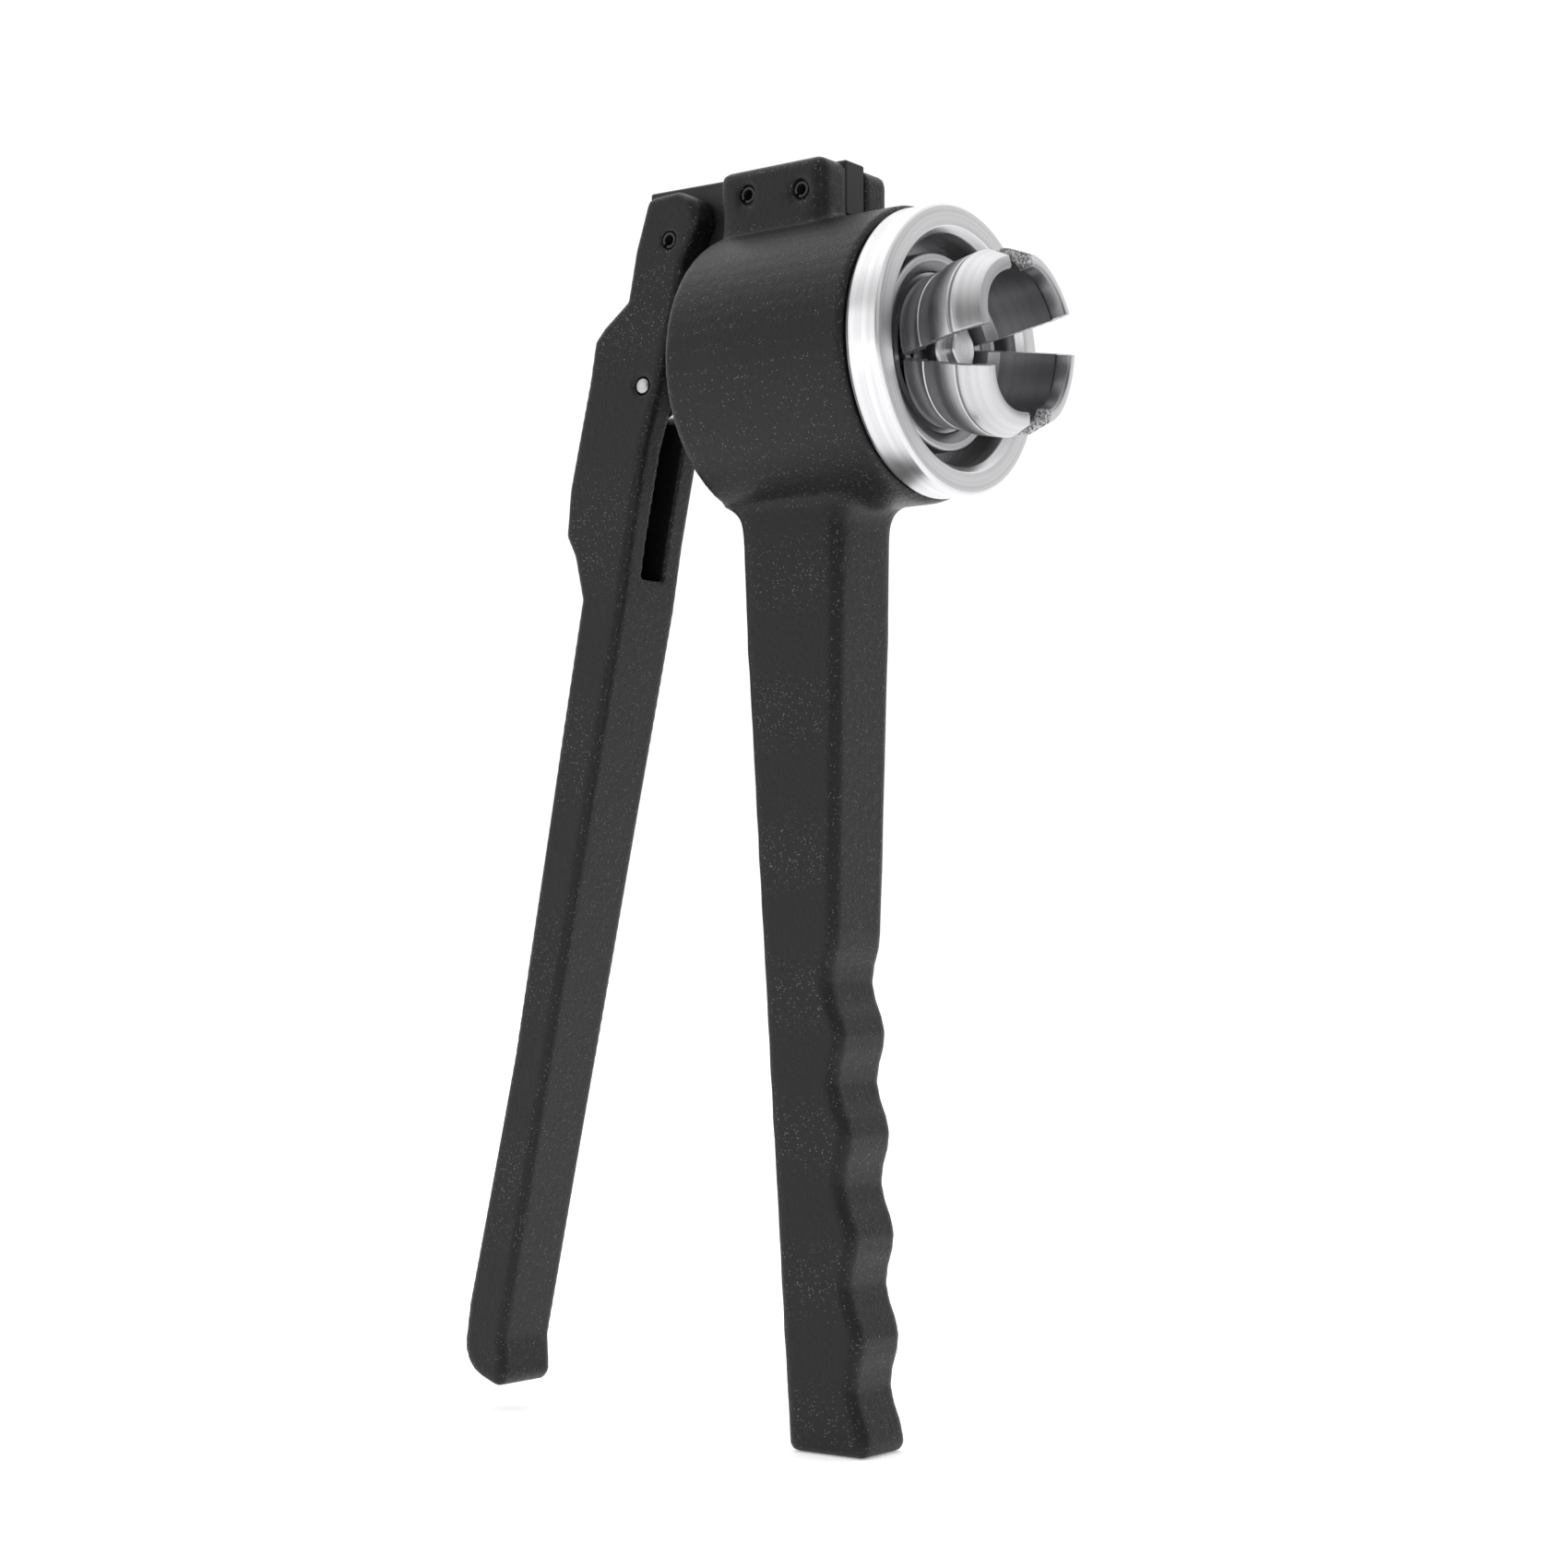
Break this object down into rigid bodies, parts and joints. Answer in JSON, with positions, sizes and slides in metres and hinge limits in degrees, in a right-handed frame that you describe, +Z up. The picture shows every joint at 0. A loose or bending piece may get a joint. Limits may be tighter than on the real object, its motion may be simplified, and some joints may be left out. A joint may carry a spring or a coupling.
{
  "type": "hand vial decapper",
  "caption": "Plier-type hand decapper for crimp-sealed vials: cast barrel and grooved handle, steel collar, rocking cam jaws and a hinged trigger lever.",
  "frame": {"origin": "centre of the flat foot of the fixed handle", "axes": "+Z up the handle to the barrel, -Y the way the jaws face, X across the tool"},
  "size_m": [0.0494, 0.1169, 0.2164],
  "materials": {
    "black_cast": "textured black coating",
    "turned_steel": "turned",
    "jaw_steel": "turned, sawn faces",
    "spring_steel": "drawn",
    "black_steel": "blackened",
    "bronze": "sintered"
  },
  "bodies": {
    "body": {"body_casting": "black_cast", "front_collar": "turned_steel", "jaw_retainer": "turned_steel", "rod_guide_bush": "bronze", "link_plate": "black_steel", "link_pin_front": "black_steel", "link_pin_rear": "black_steel", "return_spring": "spring_steel", "garter_spring": "spring_steel"},
    "lever": {"lever_handle": "black_cast", "lever_pivot_pin": "black_steel", "roller_pin": "turned_steel"},
    "roller": {"push_roller": "turned_steel"},
    "piston": {"piston": "turned_steel", "pusher_stem": "turned_steel", "pusher_locknut": "turned_steel", "pusher_washer": "turned_steel", "pusher_head": "turned_steel"},
    "jaw_a": {"jaw_1": "jaw_steel"},
    "jaw_b": {"jaw_2": "jaw_steel"},
    "jaw_c": {"jaw_3": "jaw_steel"},
    "jaw_d": {"jaw_4": "jaw_steel"}
  },
  "joints": [
    {"name": "lever_squeeze", "type": "hinge", "parent": "body", "child": "lever", "pos_m": [0, 0.03195, 0.2058], "axis": [-1, 0, 0], "range_deg": [0, 16], "stiffness_Nm_per_rad": 2},
    {"name": "roller_spin", "type": "hinge", "parent": "lever", "child": "roller", "pos_m": [0, 0.03805, 0.181], "axis": [1, 0, 0], "continuous": true},
    {"name": "piston_slide", "type": "slide", "parent": "body", "child": "piston", "axis": [0, -1, 0], "range_m": [0, 0.00708], "deforming": ["return_spring"]},
    {"name": "jaw_1_rock", "type": "hinge", "parent": "body", "child": "jaw_a", "pos_m": [0.00636, -0.018, 0.19118], "axis": [0.848, 0, -0.5299], "range_deg": [0, 14.01], "deforming": ["garter_spring"]},
    {"name": "jaw_2_rock", "type": "hinge", "parent": "body", "child": "jaw_b", "pos_m": [-0.01018, -0.018, 0.18736], "axis": [0.5299, 0, 0.848], "range_deg": [0, 14.01]},
    {"name": "jaw_3_rock", "type": "hinge", "parent": "body", "child": "jaw_c", "pos_m": [-0.00636, -0.018, 0.17082], "axis": [-0.848, 0, 0.5299], "range_deg": [0, 14.01]},
    {"name": "jaw_4_rock", "type": "hinge", "parent": "body", "child": "jaw_d", "pos_m": [0.01018, -0.018, 0.17464], "axis": [-0.5299, 0, -0.848], "range_deg": [0, 14.01]}
  ],
  "couplings": [
    {"joint": "piston_slide", "follows": "lever_squeeze", "m_per_rad": 0.02532},
    {"joint": "jaw_1_rock", "follows": "lever_squeeze", "ratio": 0.875},
    {"joint": "jaw_2_rock", "follows": "lever_squeeze", "ratio": 0.875},
    {"joint": "jaw_3_rock", "follows": "lever_squeeze", "ratio": 0.875},
    {"joint": "jaw_4_rock", "follows": "lever_squeeze", "ratio": 0.875}
  ]
}
